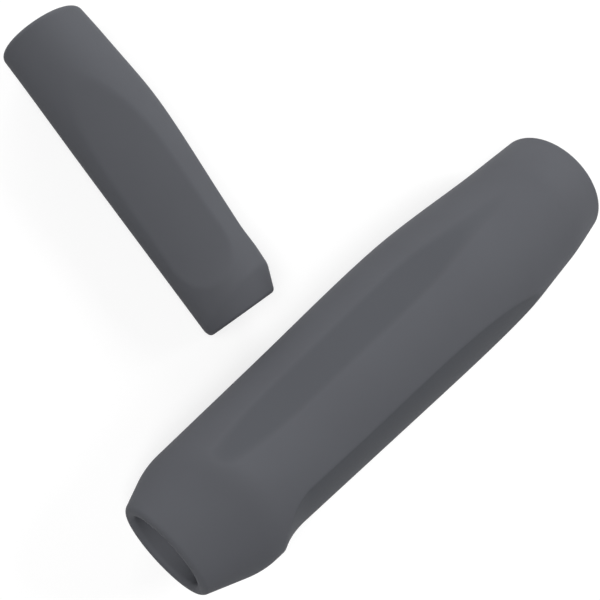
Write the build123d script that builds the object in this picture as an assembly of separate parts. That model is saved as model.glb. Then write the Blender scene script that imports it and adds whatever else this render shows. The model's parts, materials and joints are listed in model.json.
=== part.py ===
from build123d import *
from math import atan2, cos, degrees, pi, radians, sin, sqrt, tan
from types import SimpleNamespace
import os

os.makedirs("parts", exist_ok=True)

# A set of two one-piece moulded silicone sleeves that push onto the barrel of a pencil: a long full one
# and a short slim one. Each is a wall around a round bore. The wall swells towards the fingers, is thick
# along a ridge on top and thin on the plain round underside. Deep finger flats lie beside the ridge and
# curl up at their front ends: one on each side of the short sleeve, and one on the long sleeve, which has
# a shallow leaf-shaped flat on its other side. A short cone leads down to the front rim.
# In a sleeve's own frame the bore runs along +X from the rear end, and the ridge is at +Z.
# Sizes are in millimetres and degrees. A wall is measured out from the bore's surface.

# The long full sleeve
large_length = 63.7
large_bore = 8.8
large_rear_wall = 2.5
large_flare_at = 7.6        # the start of the swell, from the rear end
large_flare_under = 1.83
large_flare_ridge = 4.41
large_swell_at = 25.9       # the thickest place, from the rear end
large_swell_under = 2.71
large_swell_ridge = 5.93
large_rim_wall = 1.2        # at the front end
large_step_under = 0.73      # how far the body would stand out over the rim, but for the nose cone
large_step_ridge = 3.03
large_nose_angle = 22.4     # half angle of the nose cone
large_shoulder_round = 3.0  # where the body meets the nose cone
large_flat_rear = 5.0       # wall under the finger flat, at the rear end
large_flat_front = 2.88     # the same where the flat starts to curl up
large_flat_end = 13.1       # from that place to the front end
large_flat_core = 22.4      # from the bore's axis to the far axis that the flat is crowned about
large_leaf_spread = 40.0    # from the ridge to the middle of the shallow leaf-shaped flat, around the bore
large_leaf_depth = 0.19     # how far it is cut into the body
large_leaf_at = 17.5        # its rear point, from the rear end
large_leaf_full = 30.0      # where it is as deep as it gets
large_leaf_fade = 16.7      # where it starts to run out, from the front end
large_leaf_end = 6.2         # its front point, from the front end
large_leaf_core = 30.0      # from the bore's axis to the far axis that it is crowned about
large_roll = -7.1           # how the sleeve lies: its ridge turned from straight up, about the bore

# The short slim sleeve
small_length = 36.8
small_bore = 6.6
small_rear_wall = 1.6
small_flare_at = 4.4
small_flare_under = 1.46
small_flare_ridge = 2.11
small_swell_at = 14.85
small_swell_under = 1.28
small_swell_ridge = 2.92
small_rim_wall = 0.86
small_step_under = 0.18
small_step_ridge = 1.04
small_nose_angle = 21.4
small_shoulder_round = 0.8
small_flat_rear = 2.54
small_flat_front = 1.04
small_flat_end = 8.3
small_flat_core = 12.0
small_roll = -31.8

# What the two sleeves share
flat_spread = 63.4          # from the ridge to the middle of each finger flat, around the bore
flat_curl = 9.4             # radius of the curl at a flat's front end
rear_round = 0.75
rim_round = 0.45
lip_round = 0.3             # rear end of the bore
mouth_round = 0.6           # front end of the bore
body_sections = 13          # round sections that the body is drawn through

# Where the short sleeve's middle lies from the long one's, and which way it points
small_x = 6.77
small_y = -30.78
small_heading = 85.3

large = SimpleNamespace(
    length=large_length, bore=large_bore, rear_wall=large_rear_wall, flare_at=large_flare_at,
    flare_under=large_flare_under, flare_ridge=large_flare_ridge, swell_at=large_swell_at,
    swell_under=large_swell_under, swell_ridge=large_swell_ridge, rim_wall=large_rim_wall,
    step_under=large_step_under, step_ridge=large_step_ridge, nose_angle=large_nose_angle,
    shoulder_round=large_shoulder_round, flat_rear=large_flat_rear, flat_front=large_flat_front,
    flat_end=large_flat_end, flat_core=large_flat_core, flat_sides=(-1,), leaf_spread=large_leaf_spread,
    leaf_depth=large_leaf_depth, leaf_at=large_leaf_at, leaf_full=large_leaf_full, leaf_fade=large_leaf_fade,
    leaf_end=large_leaf_end, leaf_core=large_leaf_core, roll=large_roll,
)
small = SimpleNamespace(
    length=small_length, bore=small_bore, rear_wall=small_rear_wall, flare_at=small_flare_at,
    flare_under=small_flare_under, flare_ridge=small_flare_ridge, swell_at=small_swell_at,
    swell_under=small_swell_under, swell_ridge=small_swell_ridge, rim_wall=small_rim_wall,
    step_under=small_step_under, step_ridge=small_step_ridge, nose_angle=small_nose_angle,
    shoulder_round=small_shoulder_round, flat_rear=small_flat_rear, flat_front=small_flat_front,
    flat_end=small_flat_end, flat_core=small_flat_core, flat_sides=(1, -1), roll=small_roll,
)


def rings(shape):
    """The closed round edges of a sleeve, in order from the rear end."""
    return [edge for edge in shape.edges().sort_by(Axis.X) if edge.is_closed]


def smooth(stations, values, along):
    """A smooth line through the values: cubic spans with one slope at each station and no overshoot."""
    secants = []
    for i in range(len(stations) - 1):
        secants.append((values[i + 1] - values[i]) / (stations[i + 1] - stations[i]))
    slopes = [secants[0]]
    for before, after in zip(secants, secants[1:]):
        slopes.append(2 * before * after / (before + after) if before * after > 0 else 0)
    slopes.append(secants[-1])
    i = max(k for k in range(len(secants)) if along >= stations[k])
    span = stations[i + 1] - stations[i]
    t = (along - stations[i]) / span
    rise = values[i + 1] - values[i]
    ease = t * t * (3 - 2 * t)
    lead_in = t * (1 - t) ** 2 * slopes[i] * span
    lead_out = t * t * (1 - t) * slopes[i + 1] * span
    return values[i] + rise * ease + lead_in - lead_out


def walls(s, along):
    """The body's wall under the bore and at the ridge, at a place along the sleeve."""
    front_under = s.rim_wall + s.step_under
    front_ridge = s.rim_wall + s.step_ridge
    stations = [0, s.flare_at, s.swell_at, (s.swell_at + s.length) / 2, s.length]
    unders = [s.rear_wall, s.flare_under, s.swell_under, (s.swell_under + front_under) / 2, front_under]
    ridges = [s.rear_wall, s.flare_ridge, s.swell_ridge, (s.swell_ridge + front_ridge) / 2, front_ridge]
    return smooth(stations, unders, along), smooth(stations, ridges, along)


def body(s):
    """Loft through round sections that reach from the underside to the ridge, so they are off the bore."""
    rounds = []
    for i in range(body_sections):
        along = s.length * i / (body_sections - 1)
        under, ridge = walls(s, along)
        square = Plane(origin=(along, 0, (ridge - under) / 2), x_dir=(0, 0, 1), z_dir=(1, 0, 0))
        rounds.append(square * Circle((s.bore + under + ridge) / 2))
    return loft(rounds)


def inside_nose(s):
    """Everything inside the nose cone, turned about the bore's axis."""
    rim = s.bore / 2 + s.rim_wall
    wide = s.bore / 2 + 2 * s.swell_ridge
    cone_at = s.length - (wide - rim) / tan(radians(s.nose_angle))
    outline = Polyline((-1, 0), (s.length, 0), (s.length, rim), (cone_at, wide), (-1, wide), close=True)
    return revolve(Plane.XZ * make_face(outline), Axis.X)


def under_flat(s, side):
    """Everything under one finger flat, turned about the flat's far axis and curling up at the front."""
    curl_at = s.length - s.flat_end
    base = s.flat_core + s.bore / 2
    slope = (s.flat_front - s.flat_rear) / curl_at
    rear_end = (-1, base + s.flat_rear - slope)
    curl_start = (curl_at, base + s.flat_front)
    floor = Line(rear_end, curl_start)
    curl = JernArc(curl_start, floor % 1, flat_curl, 75)
    curl_end = curl @ 1
    top = curl_end.Y + s.swell_ridge
    rest = Polyline((curl_end.X, curl_end.Y), (curl_end.X, top), (s.length + 1, top), (s.length + 1, 0),
                    (-1, 0), rear_end)
    turned = revolve(Plane.XZ * make_face([floor, curl, rest]), Axis.X)
    return Rot(X=side * flat_spread) * Pos(Z=-s.flat_core) * turned


def under_leaf(s):
    """Everything under the leaf-shaped flat, turned about its far axis. It follows the body's own swell."""
    turn = radians(s.leaf_spread)
    stations = [0, s.leaf_at, s.leaf_full, s.length - s.leaf_fade, s.length - s.leaf_end, s.length]
    depths = [-s.leaf_depth, 0, s.leaf_depth, s.leaf_depth, 0, -s.leaf_depth]
    floor = []
    for i in range(2 * body_sections):
        along = s.length * i / (2 * body_sections - 1)
        under, ridge = walls(s, along)
        off = (ridge - under) / 2
        reach = off * cos(turn) + sqrt(((s.bore + under + ridge) / 2) ** 2 - (off * sin(turn)) ** 2)
        floor.append((along, s.leaf_core + reach - smooth(stations, depths, along)))
    floor = [(-1, floor[0][1])] + floor + [(s.length + 1, floor[-1][1])]
    rest = Polyline(floor[-1], (s.length + 1, 0), (-1, 0), floor[0])
    turned = revolve(Plane.XZ * make_face([Spline(*floor), rest]), Axis.X)
    return Rot(X=s.leaf_spread) * Pos(Z=-s.leaf_core) * turned


def lips(s, shape):
    """The round edges of the bore, in order from the rear end."""
    return [ring for ring in rings(shape) if abs(ring.length - pi * s.bore) < 0.001]


def lip(s):
    """Rounding at the rear end of the bore, within the rear wall."""
    return min(lip_round, 0.4 * s.rear_wall)


def mouth(s):
    """Rounding at the front end of the bore, within the rim's wall."""
    return min(mouth_round, 0.55 * s.rim_wall)


def sleeve(s):
    """One sleeve in its own frame. The nose is shortest underneath, and its roundings keep within it."""
    nose_angle = radians(s.nose_angle)
    nose_room = s.step_under / tan(nose_angle)
    shoulder_most = 0.4 * nose_room / tan(nose_angle / 2)
    rim_most = 0.5 * nose_room / tan(pi / 4 - nose_angle / 2)
    shape = body(s) & inside_nose(s)
    shape = fillet(rings(shape)[1], min(s.shoulder_round, shoulder_most))
    shape = fillet(rings(shape)[-1], min(rim_round, rim_most, 0.4 * s.rim_wall))
    shape = fillet(rings(shape)[0], min(rear_round, 0.4 * s.rear_wall))
    for side in s.flat_sides:
        shape = shape & under_flat(s, side)
    if s is large:
        shape = shape & under_leaf(s)
    shape = shape - Pos(X=s.length / 2) * Rot(Y=90) * Cylinder(s.bore / 2, s.length + 2)
    shape = fillet(lips(s, shape)[-1], mouth(s))
    return fillet(lips(s, shape)[0], lip(s))


def lying(s, shape, x, y, heading):
    """Where a sleeve lies: on its swell and its shoulder, nose a little down, the lowest point at zero."""
    lean = cos(radians(s.roll))
    swell_low = (s.swell_ridge + s.swell_under) / 2 - lean * (s.swell_ridge - s.swell_under) / 2
    front_low = (s.rim_wall * 2 + s.step_ridge + s.step_under) / 2 - lean * (s.step_ridge - s.step_under) / 2
    nose_down = degrees(atan2(swell_low - front_low, s.length - s.swell_at))
    turned = Rot(Z=heading) * Rot(Y=nose_down) * Rot(X=s.roll) * Pos(X=-s.length / 2)
    lift = -(turned * shape).bounding_box().min.Z
    return Pos(x, y, lift) * turned


large_shape = sleeve(large)
small_shape = sleeve(small)
large_at = lying(large, large_shape, 0, 0, 0)
small_at = lying(small, small_shape, small_x, small_y, small_heading)

# The set's origin is under the middle of the box around both
box = Compound(children=[large_at * large_shape, small_at * small_shape]).bounding_box()
middle = Pos(-box.center().X, -box.center().Y, -box.min.Z)
large_at = middle * large_at
small_at = middle * small_at

export_step(large_at * large_shape, "parts/large_grip.step")
export_step(small_at * small_shape, "parts/small_grip.step")

print("box, mm:", box.size)
# A barrel goes in and comes out at the rear end, so that is the way each bore's axis points
for name, s, at in (("large_bore", large, large_at), ("small_bore", small, small_at)):
    centre = (at * Pos(X=(s.length - mouth(s) + lip(s)) / 2)).position
    rear = at.position
    print(name, "middle, m:", [round(value / 1000, 6) for value in centre])
    print(name, "axis:", [round(value, 6) for value in (rear - centre).normalized()])
    print(name, "straight length, mm:", round(s.length - mouth(s) - lip(s), 3))
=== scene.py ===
import json
import math

import bpy
import numpy as np
from mathutils import Matrix, Vector


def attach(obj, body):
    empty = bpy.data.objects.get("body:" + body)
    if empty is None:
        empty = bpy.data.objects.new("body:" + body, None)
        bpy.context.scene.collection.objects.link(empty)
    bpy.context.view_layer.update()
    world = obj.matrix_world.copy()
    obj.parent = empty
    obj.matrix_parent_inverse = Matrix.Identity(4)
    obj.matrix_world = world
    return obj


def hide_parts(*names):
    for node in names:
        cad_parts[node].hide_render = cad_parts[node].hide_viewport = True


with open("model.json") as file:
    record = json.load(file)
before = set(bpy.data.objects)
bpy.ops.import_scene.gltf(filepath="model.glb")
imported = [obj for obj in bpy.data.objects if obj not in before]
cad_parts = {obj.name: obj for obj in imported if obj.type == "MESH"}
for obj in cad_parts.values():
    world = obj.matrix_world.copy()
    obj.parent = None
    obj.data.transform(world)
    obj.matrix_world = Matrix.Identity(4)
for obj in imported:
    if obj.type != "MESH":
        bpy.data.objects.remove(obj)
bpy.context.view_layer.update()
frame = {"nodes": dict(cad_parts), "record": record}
print("frame loaded:", sorted(frame["nodes"]))

mm = 0.001

# sizes in millimetres and degrees, as the solids have them; a wall is measured out from the bore
largeGrip = {
    "node": "large_grip",
    "bore": "large_bore",
    "length": 63.7,
    "rearWall": 2.5,
    "flareAt": 7.6, "flareUnder": 1.83, "flareRidge": 4.41,
    "swellAt": 25.9, "swellUnder": 2.71, "swellRidge": 5.93,
    "rimWall": 1.2, "stepUnder": 0.73, "stepRidge": 3.03,
    "noseAngle": 22.4, "shoulderSoft": 0.4,
    "flatSides": (1,),
    "flatRear": 5.0, "flatFront": 2.88, "flatEnd": 13.1, "flatCore": 22.4, "flatShade": 0.95,
    "leafSpread": 40.0, "leafDepth": 0.19, "leafCore": 30.0, "leafSoft": 0.05, "leafShade": 0.5,
    "leafAt": 17.5, "leafFull": 30.0, "leafFade": 16.7, "leafEnd": 6.2,
    "roll": -7.1,
    "rowsAlong": 230, "rowsAround": 320,
}
smallGrip = {
    "node": "small_grip",
    "bore": "small_bore",
    "length": 36.8,
    "rearWall": 1.6,
    "flareAt": 4.4, "flareUnder": 1.46, "flareRidge": 2.11,
    "swellAt": 14.85, "swellUnder": 1.28, "swellRidge": 2.92,
    "rimWall": 0.86, "stepUnder": 0.18, "stepRidge": 1.04,
    "noseAngle": 21.4, "shoulderSoft": 0.1,
    "flatSides": (1, -1),
    "flatRear": 2.54, "flatFront": 1.04, "flatEnd": 8.3, "flatCore": 12.0, "flatShade": 0.0,
    "leafDepth": 0,  # no leaf-shaped flat
    "roll": -31.8,
    "rowsAlong": 210, "rowsAround": 288,
}
bothGrips = {
    "flatSpread": 63.4,
    "flatCurl": 9.4,
    "curlReach": 0.98,  # share of the curl's quarter turn that is used, so that it never stands upright
    "rearRound": 0.75,
    "rimRound": 0.45,
    "lipRound": 0.3,
    "mouthRound": 0.6,
    "roundShare": 0.4,  # most of a wall that a rounding may take
    "mouthShare": 0.55,
    "creaseSoft": 0.15,  # how far apart two faces start to melt into each other
    "polishEdge": 0.12,  # depth under the body at which a flat has its full shade
    "roundRows": 9,
    "boreRows": 41,
    "faceSteps": (0.08, 0.5, 0.92),  # rows across the flat end faces, from one edge to the other
}


# no-overshoot cubic: each span eases from one value to the next, with the harmonic mean
# of its two neighbouring slopes at a station, or none where the line turns back
def smoothLine(stations, values, along):
    stations = np.asarray(stations, float)
    values = np.asarray(values, float)
    secant = np.diff(values) / np.diff(stations)
    before, after = secant[:-1], secant[1:]
    together = before * after > 0
    inner = np.where(together, 2 * before * after / np.where(together, before + after, 1), 0)
    slope = np.concatenate(([secant[0]], inner, [secant[-1]]))
    i = np.clip(np.searchsorted(stations, along, side="right") - 1, 0, len(secant) - 1)
    span = stations[i + 1] - stations[i]
    t = (along - stations[i]) / span
    ease = t * t * (3 - 2 * t)
    leadIn = t * (1 - t) ** 2 * slope[i] * span
    leadOut = t * t * (1 - t) * slope[i + 1] * span
    return values[i] + (values[i + 1] - values[i]) * ease + leadIn - leadOut


# the lesser of two radii, with the crease between them rounded over the given depth
def softLesser(a, b, depth):
    near = np.maximum(depth - np.abs(a - b), 0) / depth
    return np.minimum(a, b) - near * near * depth / 4


# distance from the bore's axis to a circle of the given radius whose middle is off that axis by
# `off`, seen in the direction `turn` away from the side that it is off to
def offCircle(radius, off, turn):
    return off * np.cos(turn) + np.sqrt(radius ** 2 - (off * np.sin(turn)) ** 2)


# painted shade on a flat: from 0 at its edge to its own share a little way under the body
def flatPolish(body, flat, share):
    return share * np.clip((body - flat) / bothGrips["polishEdge"], 0, 1)


# outer radius of a grip over length x angle: the least of the off-centre round body, the nose cone,
# the finger flats, each a barrel about a far axis that curls up at its front end, and the shallow
# leaf-shaped flat, a barrel that follows the body's own swell a little way under it; with it comes
# how much painted shade each point takes
def outerRadius(g, boreRadius, along, around):
    frontUnder = g["rimWall"] + g["stepUnder"]
    frontRidge = g["rimWall"] + g["stepRidge"]
    midUnder = (g["swellUnder"] + frontUnder) / 2
    midRidge = (g["swellRidge"] + frontRidge) / 2
    stations = [0, g["flareAt"], g["swellAt"], (g["swellAt"] + g["length"]) / 2, g["length"]]
    unders = [g["rearWall"], g["flareUnder"], g["swellUnder"], midUnder, frontUnder]
    ridges = [g["rearWall"], g["flareRidge"], g["swellRidge"], midRidge, frontRidge]
    under = boreRadius + smoothLine(stations, unders, along)
    ridge = boreRadius + smoothLine(stations, ridges, along)
    bodyRound, bodyOff = (under + ridge) / 2, (ridge - under) / 2
    radius = offCircle(bodyRound, bodyOff, around)

    noseSlope = math.tan(math.radians(g["noseAngle"]))
    nose = boreRadius + g["rimWall"] + (g["length"] - along) * noseSlope
    radius = softLesser(radius, nose, g["shoulderSoft"])
    paintedShade = np.zeros_like(radius)

    curlAt = g["length"] - g["flatEnd"]
    floor = g["flatRear"] + (g["flatFront"] - g["flatRear"]) * along / curlAt
    curl = bothGrips["flatCurl"]
    into = np.clip(along - curlAt, 0, curl * bothGrips["curlReach"])
    floor = boreRadius + floor + curl - np.sqrt(curl ** 2 - into ** 2)
    for side in g["flatSides"]:
        turn = around - side * math.radians(bothGrips["flatSpread"])
        flat = offCircle(g["flatCore"] + floor, -g["flatCore"], turn)
        paintedShade = np.maximum(paintedShade, flatPolish(radius, flat, g["flatShade"]))
        radius = softLesser(radius, flat, bothGrips["creaseSoft"])

    if g["leafDepth"]:
        turn = math.radians(g["leafSpread"])
        fade, end = g["length"] - g["leafFade"], g["length"] - g["leafEnd"]
        stations = [0, g["leafAt"], g["leafFull"], fade, end, g["length"]]
        depth = g["leafDepth"] * smoothLine(stations, [-1, 0, 1, 1, 0, -1], along)
        floor = offCircle(bodyRound, bodyOff, turn) - depth
        leaf = offCircle(g["leafCore"] + floor, -g["leafCore"], around + turn)
        paintedShade = np.maximum(paintedShade, flatPolish(radius, leaf, g["leafShade"]))
        radius = softLesser(radius, leaf, g["leafSoft"])
    return radius, paintedShade


# roundings of the rear end, the front rim, and the bore's rear lip and front mouth, within the walls
def gripRounds(g):
    share = bothGrips["roundShare"]
    return (min(bothGrips["rearRound"], share * g["rearWall"]),
            min(bothGrips["rimRound"], share * g["rimWall"]),
            min(bothGrips["lipRound"], share * g["rearWall"]),
            min(bothGrips["mouthRound"], bothGrips["mouthShare"] * g["rimWall"]))


# one closed skin: the profile runs out over the rear rim, along the outside, in over the front rim
# and back through the bore; rows are profile points, columns are angles from the ridge
def gripSkin(g, boreRadius):
    length = g["length"]
    rear, rim, lip, mouth = gripRounds(g)
    around = np.linspace(0, 2 * np.pi, g["rowsAround"], endpoint=False)[None, :]
    quarter = np.linspace(0, np.pi / 2, bothGrips["roundRows"])
    bodyRows = np.linspace(rear, length - rim, g["rowsAlong"])[1:-1]

    outerAlong = np.concatenate((rear * (1 - np.cos(quarter)), bodyRows,
                                 length - rim * (1 - np.cos(quarter[::-1]))))[:, None]
    drop = np.concatenate((rear * (1 - np.sin(quarter)), 0 * bodyRows,
                           rim * (1 - np.sin(quarter[::-1]))))[:, None]
    outer, outerPaintedShade = outerRadius(g, boreRadius, outerAlong, around)
    outer = outer - drop

    rearLip, frontLip = boreRadius + lip, boreRadius + mouth
    faceSteps = np.array(bothGrips["faceSteps"])[:, None]
    frontFace = outer[-1] + (frontLip - outer[-1]) * faceSteps
    rearFace = rearLip + (outer[0] - rearLip) * faceSteps
    wallAlong = np.linspace(length - mouth, lip, bothGrips["boreRows"])[1:-1]
    insideAlong = np.concatenate((length - mouth + mouth * np.cos(quarter), wallAlong,
                                  lip - lip * np.sin(quarter)))[:, None]
    inside = np.concatenate((frontLip - mouth * np.sin(quarter), boreRadius + 0 * wallAlong,
                             rearLip - lip * np.cos(quarter)))[:, None]

    ones = np.ones_like(around)
    along = np.concatenate((outerAlong * ones, length * np.ones_like(frontFace),
                            insideAlong * ones, np.zeros_like(rearFace)))
    radius = np.concatenate((outer, frontFace, inside * ones, rearFace))
    paintedShade = np.zeros_like(radius)
    paintedShade[:len(outerPaintedShade)] = outerPaintedShade
    return along, radius * np.sin(around), radius * np.cos(around), paintedShade


# which way a grip lies: along its bore, and its side and ridge turned from level and up by the roll
def gripAxes(bore, roll):
    front = -np.array(bore["axis"], float)  # a bore's axis points out of its rear end
    front /= np.linalg.norm(front)
    up = np.array((0, 0, 1.0)) - front * front[2]
    up /= np.linalg.norm(up)
    level = np.cross(up, front)
    turn = math.radians(roll)
    side = math.cos(turn) * level + math.sin(turn) * up
    ridge = math.cos(turn) * up - math.sin(turn) * level
    return front, side, ridge


# the skin where its grip lies: each point is the bore's place plus its three distances along the
# grip's own axes; faces join each row and column to the next, and the last ones to the first
def gripPiece(g, material):
    bore = next(m for m in frame["record"]["mounts"] if m["name"] == g["bore"])
    along, across, high, paintedShade = gripSkin(g, bore["dims"]["r_mm"])
    front, side, ridge = gripAxes(bore, g["roll"])
    lip, mouth = gripRounds(g)[2:]
    along = along - (g["length"] - mouth + lip) / 2  # a bore's place is the middle of its straight part
    points = np.array(bore["pos_m"]) + mm * (along[..., None] * front + across[..., None] * side
                                             + high[..., None] * ridge)
    rows, columns = along.shape
    index = np.arange(rows * columns).reshape(rows, columns)
    nextRow, nextColumn = np.roll(index, -1, 0), np.roll(index, -1, 1)
    corner = np.roll(nextRow, -1, 1)
    quads = np.stack((index, nextColumn, corner, nextRow), -1).reshape(-1, 4)

    mesh = bpy.data.meshes.new(g["node"] + "_skin")
    mesh.from_pydata(points.reshape(-1, 3), [], quads)
    mesh.polygons.foreach_set("use_smooth", np.ones(len(mesh.polygons), bool))
    mesh.materials.append(material)
    mesh.attributes.new("flatPolish", "FLOAT", "POINT").data.foreach_set("value", paintedShade.ravel())
    mesh.update()
    piece = bpy.data.objects.new(g["node"] + "_skin", mesh)
    bpy.context.scene.collection.objects.link(piece)
    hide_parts(g["node"])
    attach(piece, g["node"])
    print(piece.name, "made of", len(mesh.polygons), "faces")


# sRGB hex to linear light
def hexColour(text):
    parts = [int(text[i:i + 2], 16) / 255 for i in (1, 3, 5)]
    return [p / 12.92 if p <= 0.04045 else ((p + 0.055) / 1.055) ** 2.4 for p in parts] + [1.0]


# adds one node; settings are its properties, values its sockets, links its inputs from other sockets
def addNode(tree, kind, settings={}, values={}, links={}):
    node = tree.nodes.new(kind)
    for name, value in settings.items():
        setattr(node, name, value)
    for name, value in values.items():
        node.inputs[name].default_value = value
    for name, socket in links.items():
        tree.links.new(socket, node.inputs[name])
    return node


def newTree(name):
    material = bpy.data.materials.new(name)
    material.use_nodes = True
    material.node_tree.nodes.clear()
    return material, material.node_tree


silicone = {
    "name": "mouldedSiliconeRubber",
    "colour": "#5a5b60",
    "dusty": "#606267",
    # painted shade: the finger flats' colour is darkened toward this one, standing in for the shade they
    # fall in
    "polished": "#505257",
    "roughness": (0.56, 0.68),
    "ior": 1.41,
    "specular": 0.06,  # dust and grain take most of a clean surface's sheen
    "cloudMm": 9.0,
    "cloudDetail": 3.0,
    "grainMm": 0.3,  # spark-eroded mould grain is near 0.05 mm; drawn coarser so that it shows
    "grainDetail": 2.0,
    "grainDepthMm": 0.006,
}


# charcoal silicone from a spark-eroded mould: matte, a little dusty, soft wide sheen and no sharp glint;
# the long grip's finger flats are painted a shade darker, standing in for the shade they fall in
# (a colour mix has its factor at socket 0, its two colours at 6 and 7, and its result at 2)
def siliconeMaterial():
    material, tree = newTree(silicone["name"])
    place = addNode(tree, "ShaderNodeTexCoord").outputs["Object"]
    cloud = addNode(tree, "ShaderNodeTexNoise", links={"Vector": place},
                    values={"Scale": 1 / (silicone["cloudMm"] * mm), "Detail": silicone["cloudDetail"]})
    grain = addNode(tree, "ShaderNodeTexNoise", links={"Vector": place},
                    values={"Scale": 1 / (silicone["grainMm"] * mm), "Detail": silicone["grainDetail"]})
    tint = addNode(tree, "ShaderNodeMix", {"data_type": "RGBA"}, links={0: cloud.outputs["Fac"]},
                   values={6: hexColour(silicone["colour"]), 7: hexColour(silicone["dusty"])})
    # painted shade on the finger flats, read from the skin's point attribute
    flat = addNode(tree, "ShaderNodeAttribute", {"attribute_name": "flatPolish"})
    shade = addNode(tree, "ShaderNodeMix", {"data_type": "RGBA"},
                    values={7: hexColour(silicone["polished"])},
                    links={0: flat.outputs["Fac"], 6: tint.outputs[2]})
    low, high = silicone["roughness"]
    rough = addNode(tree, "ShaderNodeMapRange", values={"To Min": low, "To Max": high},
                    links={"Value": grain.outputs["Fac"]})
    bump = addNode(tree, "ShaderNodeBump", links={"Height": grain.outputs["Fac"]},
                   values={"Distance": silicone["grainDepthMm"] * mm, "Strength": 1.0})
    shader = addNode(tree, "ShaderNodeBsdfPrincipled",
                     values={"IOR": silicone["ior"], "Specular IOR Level": silicone["specular"]},
                     links={"Base Color": shade.outputs[2], "Roughness": rough.outputs["Result"],
                            "Normal": bump.outputs["Normal"]})
    addNode(tree, "ShaderNodeOutputMaterial", links={"Surface": shader.outputs["BSDF"]})
    print(material.name, "mixed")
    return material


# 1 for what the eye sees directly, in a gloss or through glass, and 0 for light that bounces
def seenByEye(tree):
    path = addNode(tree, "ShaderNodeLightPath")
    direct = addNode(tree, "ShaderNodeMath", {"operation": "ADD"},
                     links={0: path.outputs["Is Camera Ray"], 1: path.outputs["Is Glossy Ray"]})
    return addNode(tree, "ShaderNodeMath", {"operation": "ADD", "use_clamp": True},
                   links={0: direct.outputs[0], 1: path.outputs["Is Transmission Ray"]}).outputs[0]


table = {"radius": 0.3, "sides": 128, "colour": "#a0a0a0", "glow": 0.72}


# pale table: a plain grey card to the light it bounces; seen directly it also glows, so that it is white
# and still shows a faint shadow; the card is a circle of points about the origin
def tableTop():
    material, tree = newTree("paleTableCard")
    strength = addNode(tree, "ShaderNodeMath", {"operation": "MULTIPLY"}, {1: table["glow"]},
                       {0: seenByEye(tree)})
    card = addNode(tree, "ShaderNodeBsdfDiffuse", values={"Color": hexColour(table["colour"])})
    glow = addNode(tree, "ShaderNodeEmission", links={"Strength": strength.outputs[0]})
    white = addNode(tree, "ShaderNodeAddShader", links={0: card.outputs[0], 1: glow.outputs[0]})
    addNode(tree, "ShaderNodeOutputMaterial", links={"Surface": white.outputs[0]})

    around = np.linspace(0, 2 * np.pi, table["sides"], endpoint=False)
    edge = table["radius"] * np.stack((np.cos(around), np.sin(around), 0 * around), -1)
    mesh = bpy.data.meshes.new("table_top")
    mesh.from_pydata(edge, [], [list(range(table["sides"]))])
    mesh.materials.append(material)
    top = bpy.data.objects.new("table_top", mesh)
    bpy.context.scene.collection.objects.link(top)
    print("table laid")


# lamps stand on a sphere about the origin, at an azimuth and a height in degrees, and face inwards
studio = {
    "distance": 0.6,
    "size": 0.35,
    "lamps": [
        {"name": "overheadSoftbox", "azimuth": 0, "height": 60, "power": 2.62},
        {"name": "rightSoftbox", "azimuth": 150, "height": 32, "power": 1.77},
        {"name": "rearSoftbox", "azimuth": 180, "height": 12, "power": 0.55},
        {"name": "farSoftbox", "azimuth": 240, "height": 12, "power": 1.93},
        {"name": "leftSoftbox", "azimuth": 270, "height": 12, "power": 0.54},
    ],
}


# white to the eye all round, with all of the light on the grips from the lamps
def studioLight():
    world = bpy.data.worlds.new("paleStudio")
    world.use_nodes = True
    tree = world.node_tree
    tree.nodes.clear()
    sky = addNode(tree, "ShaderNodeBackground", values={"Color": (1, 1, 1, 1)},
                  links={"Strength": seenByEye(tree)})
    addNode(tree, "ShaderNodeOutputWorld", links={"Surface": sky.outputs[0]})
    bpy.context.scene.world = world

    for lamp in studio["lamps"]:
        data = bpy.data.lights.new(lamp["name"], "AREA")
        data.shape = "DISK"
        data.size = studio["size"]
        data.energy = lamp["power"]
        box = bpy.data.objects.new(lamp["name"], data)
        azimuth, height = math.radians(lamp["azimuth"]), math.radians(lamp["height"])
        toward = Vector((math.cos(azimuth) * math.cos(height), math.sin(azimuth) * math.cos(height),
                         math.sin(height)))
        box.location = toward * studio["distance"]
        box.rotation_euler = toward.to_track_quat("Z", "Y").to_euler()
        bpy.context.scene.collection.objects.link(box)
    print("light set with", len(studio["lamps"]), "lamps")


# places and the lens in millimetres; right and up are the picture's own
viewpoint = {
    "at": (56.884, 4.875, 117.381),
    "right": (-0.67323, 0.64532, 0.36101),
    "up": (-0.59718, -0.76242, 0.24921),
    "lens": 69.0,
    "sensor": 36.0,
    "nearest": 5.0,
}


def photoCamera():
    data = bpy.data.cameras.new("photoCamera")
    data.lens = viewpoint["lens"]
    data.sensor_width = viewpoint["sensor"]
    data.clip_start = viewpoint["nearest"] * mm
    camera = bpy.data.objects.new("photoCamera", data)
    right, up = Vector(viewpoint["right"]), Vector(viewpoint["up"])
    turn = Matrix((right, up, right.cross(up))).transposed().to_4x4()
    camera.matrix_world = Matrix.Translation(Vector(viewpoint["at"]) * mm) @ turn
    bpy.context.scene.collection.objects.link(camera)
    bpy.context.scene.camera = camera
    print("camera placed")


rubber = siliconeMaterial()
for grip in (largeGrip, smallGrip):
    gripPiece(grip, rubber)
tableTop()
studioLight()
photoCamera()
bpy.context.scene.view_settings.view_transform = "Standard"
